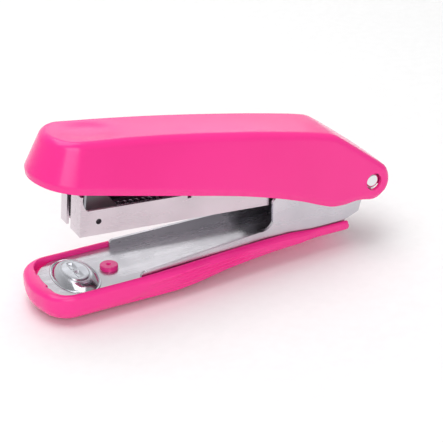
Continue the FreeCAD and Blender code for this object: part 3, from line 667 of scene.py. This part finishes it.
def build_tray():
    """A section carried round the plan: recess, rim, outer side and belly, closed above and below."""
    loop, inward = tray_outline()
    x = loop[:, 0]
    top, floor, belly = (curve_value(knots, x) for knots in (TRAY_TOP, TRAY_FLOOR, TRAY_BELLY))
    front = np.clip(inward[:, 0], 0, 1) * (x < -40)
    back = x > TRAY_TAIL - 1.9
    top = np.where(x > TRAY_TAIL - 1.0, RECESS, top)
    rim = curve_value(TRAY_HALF, x) - curve_value(PLATE_HALF, x) + NOSE_RIM * front ** 2
    rim = np.where(back, TAIL_RIM, rim)
    tab = (x < TAB_BACK) * (np.abs(loop[:, 1]) < TAB_HALF) * TAB
    edge = np.where(back, TAIL_ROUND, np.minimum(RIM_ROUND, rim * 0.75))
    profile = [
        (rim, np.full_like(x, RECESS)),
        (rim + tab, np.maximum(top - 0.7, RECESS)),
        (rim + tab - 0.12, np.maximum(top - 0.22, RECESS)),
        (rim + tab - 0.4, top),
        ((rim + tab + edge) / 2, top),
    ]
    for turn in np.radians([0, 22, 45, 67, 90]):
        profile.append((edge * (1 - math.sin(turn)), top - edge * (1 - math.cos(turn))))
    wall_high = top - edge
    wall_low = np.minimum(floor + belly, wall_high - 0.2)
    for share in np.linspace(0, 1, 14)[1:]:
        profile.append((np.zeros_like(x), wall_high + (wall_low - wall_high) * share))
    reach = np.minimum(belly, wall_high - 0.2 - floor)
    for turn in np.radians(np.linspace(0, 90, 26)[1:]):
        profile.append((reach * (1 - math.cos(turn)), floor + reach * (1 - math.sin(turn))))
    on_grip = (x < GRIP_BACK) & (x > GRIP_FRONT)
    points = []
    for shift, z in profile:
        outside = np.where(on_grip, grip(x, z), 0) * (np.abs(loop[:, 1]) > GRIP_CLEAR)
        fading = np.clip((belly - shift) / 1.5, 0, 1) * (z < top)
        moved = loop + inward * (shift - outside * fading)[:, None]
        points.append(np.column_stack([moved, z]))
    stations, rows = len(loop), len(profile)
    faces = grid_faces(rows, stations, wrap=True)
    # The first and the last row are closed by faces across the tray.
    for row in (0, rows - 1):
        for step in range(stations // 2):
            a, b = row * stations + step, row * stations + (step + 1) % stations
            c = row * stations + (stations - step - 1) % stations
            d = row * stations + (stations - step) % stations
            face = tuple(dict.fromkeys((a, b, c, d)))
            if len(face) > 2:
                faces.append(face)
    tray = new_piece("tray_shell", level(np.concatenate(points)), faces, "base", PINK)
    crisp(tray, 40)
    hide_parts("base_tray")


# ---------------------------------------------------------------- the anvil

def build_anvil():
    """An oval dome in a flat collar, with a raised table that holds two clinching pockets.

    The profile is in shares of the anvil's half size and of its height, from the rim to the middle.
    """
    low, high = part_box("anvil")
    centre = (low + high) / 2
    half_x, half_y, rise = high[0] - centre[0], high[1] - centre[1], high[2] - low[2]
    collar = (
        (1.0, 0.0), (1.0, 0.05), (0.99, 0.09), (0.975, 0.10), (0.945, 0.10), (0.93, 0.07),
        (0.915, 0.03), (0.90, 0.06), (0.885, 0.15),
    )
    dome = tuple((0.865 - 0.29 * share, 0.22 + 0.62 * math.sin(share * math.pi / 2) ** 0.9)
                 for share in np.linspace(0, 1, 12))
    table = ((0.565, 0.86), (0.55, 0.90), (0.535, 0.945), (0.515, 0.965), (0.48, 0.975), (0.44, 0.98))
    inner = tuple((radius, 0.98) for radius in np.linspace(0.41, 0.02, 22))
    profile = collar + dome + table + inner
    sides = 144
    pocket_x, pocket_y, pocket_half, pocket_deep = 0.95 * MM, 2.75 * MM, 2.0 * MM, 0.42 * MM
    points = []
    for radius, height in profile:
        for turn in np.linspace(0, 2 * math.pi, sides, endpoint=False):
            x, y = radius * half_x * math.cos(turn), radius * half_y * math.sin(turn)
            z = rise * height
            if radius < 0.5:
                for side in (-1, 1):
                    across = x / pocket_x
                    lengthwise = (y - side * pocket_y) / pocket_half
                    z -= pocket_deep * math.exp(-(across ** 4 + lengthwise ** 4))
            points.append((centre[0] + x, centre[1] + y, low[2] + z))
    faces = grid_faces(len(profile), sides, wrap=True)
    faces.append(tuple(range(sides)))
    faces.append(tuple(range((len(profile) - 1) * sides, len(profile) * sides)))
    anvil = new_piece("anvil_dome", points, faces, "base", ANVIL_PAINTED_SHADE)
    crisp(anvil, 50)
    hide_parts("anvil")


# ---------------------------------------------------------------- the pusher's spring

def build_pusher_spring():
    """An open coil on the rod, riding with the magazine."""
    low, high = (Vector(corner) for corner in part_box("pusher_spring"))
    length = (high.x - low.x) / math.cos(MAGAZINE_TILT)
    axis = Vector((math.cos(MAGAZINE_TILT), 0, -math.sin(MAGAZINE_TILT)))
    middle = (low + high) / 2
    wire, coil_radius, coils, end_gap = 0.27 * MM, 1.8 * MM, 34, 0.4 * MM
    side = Vector((0, 1, 0))
    upward = axis.cross(side)
    travel = length - 2 * wire - end_gap
    steps, ring = coils * 18, 7
    points = []
    for step in range(steps + 1):
        share = step / steps
        turn = share * coils * 2 * math.pi
        spoke = side * math.cos(turn) + upward * math.sin(turn)
        centre = middle + axis * (travel * (share - 0.5)) + spoke * coil_radius
        for corner in range(ring):
            angle = 2 * math.pi * corner / ring
            points.append(centre + (spoke * math.cos(angle) + axis * math.sin(angle)) * wire)
    faces = grid_faces(steps + 1, ring, wrap=True)
    faces += [tuple(range(ring)), tuple(range(steps * ring, (steps + 1) * ring))]
    spring = new_piece("pusher_coil", points, faces, "magazine", SPRING)
    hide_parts("pusher_spring")
    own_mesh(spring)


# ---------------------------------------------------------------- stage

def photo_studio():
    """Pale floor and backdrop in one sweep."""
    sweep = [(-2.2, 0), (0.25, 0), (0.55, 0.03), (0.75, 0.2), (0.8, 1.2)]
    line = smooth_curve(sweep, 60)
    half_width = 2.0
    points = [(side * half_width, back, up) for back, up in line for side in (-1, 1)]
    mesh = bpy.data.meshes.new("floor")
    mesh.from_pydata(points, [], grid_faces(len(line), 2))
    floor = bpy.data.objects.new("floor", mesh)
    bpy.context.collection.objects.link(floor)
    material, shader = new_material("floor_paper")
    place = add(material, "ShaderNodeTexCoord")
    fibre = noise(material, place, 300, 4)
    spread = ramp(material, fibre, "Fac", 0, 1)
    paper = tint(material, spread, "Result", (0.93, 0.93, 0.93), (0.95, 0.95, 0.95))
    join(material, paper, MIX_RESULT, shader, "Base Color")
    shader.inputs["Roughness"].default_value = 0.8
    mesh.materials.append(material)


def soft_box(name, place, target, size, power):
    """A rectangular white light that faces a target."""
    light = bpy.data.lights.new(name, "AREA")
    light.shape = "RECTANGLE"
    light.size, light.size_y = size
    light.energy = power
    lamp = bpy.data.objects.new(name, light)
    lamp.location = place
    lamp.rotation_euler = (Vector(target) - Vector(place)).to_track_quat("-Z", "Y").to_euler()
    bpy.context.collection.objects.link(lamp)


def main_camera():
    """Three-quarter view from the nose, from the near side and above."""
    azimuth, elevation = math.radians(28.2), math.radians(28.1)
    distance = 0.520
    target = Vector((0.0048, 0.0, 0.0143))
    flat = math.cos(elevation)
    forward = Vector((math.sin(azimuth) * flat, math.cos(azimuth) * flat, -math.sin(elevation)))
    data = bpy.data.cameras.new("camera")
    data.sensor_width = 36.0
    data.lens = 126.8
    camera = bpy.data.objects.new("camera", data)
    camera.location = target - forward * distance
    camera.rotation_euler = forward.to_track_quat("-Z", "Y").to_euler()
    bpy.context.collection.objects.link(camera)
    bpy.context.scene.camera = camera


def light_up():
    """White surroundings and three soft boxes."""
    world = bpy.data.worlds.new("studio")
    bpy.context.scene.world = world
    world.use_nodes = True
    background = world.node_tree.nodes["Background"]
    background.inputs[0].default_value = (1, 1, 1, 1)
    background.inputs[1].default_value = 0.42
    soft_box("top_box", (-0.10, 0.10, 0.75), (0, 0, 0), (0.9, 0.6), 4.2)
    soft_box("near_box", (-0.30, -0.80, 0.45), (0, 0, 0.02), (0.6, 0.5), 2.6)
    soft_box("far_box", (0.2, 0.8, 0.35), (0, 0, 0.03), (0.9, 0.3), 0.7)


dress_frame()
build_cover()
build_tray()
build_anvil()
build_pusher_spring()
photo_studio()
main_camera()
light_up()
bpy.context.scene.view_settings.view_transform = "Standard"
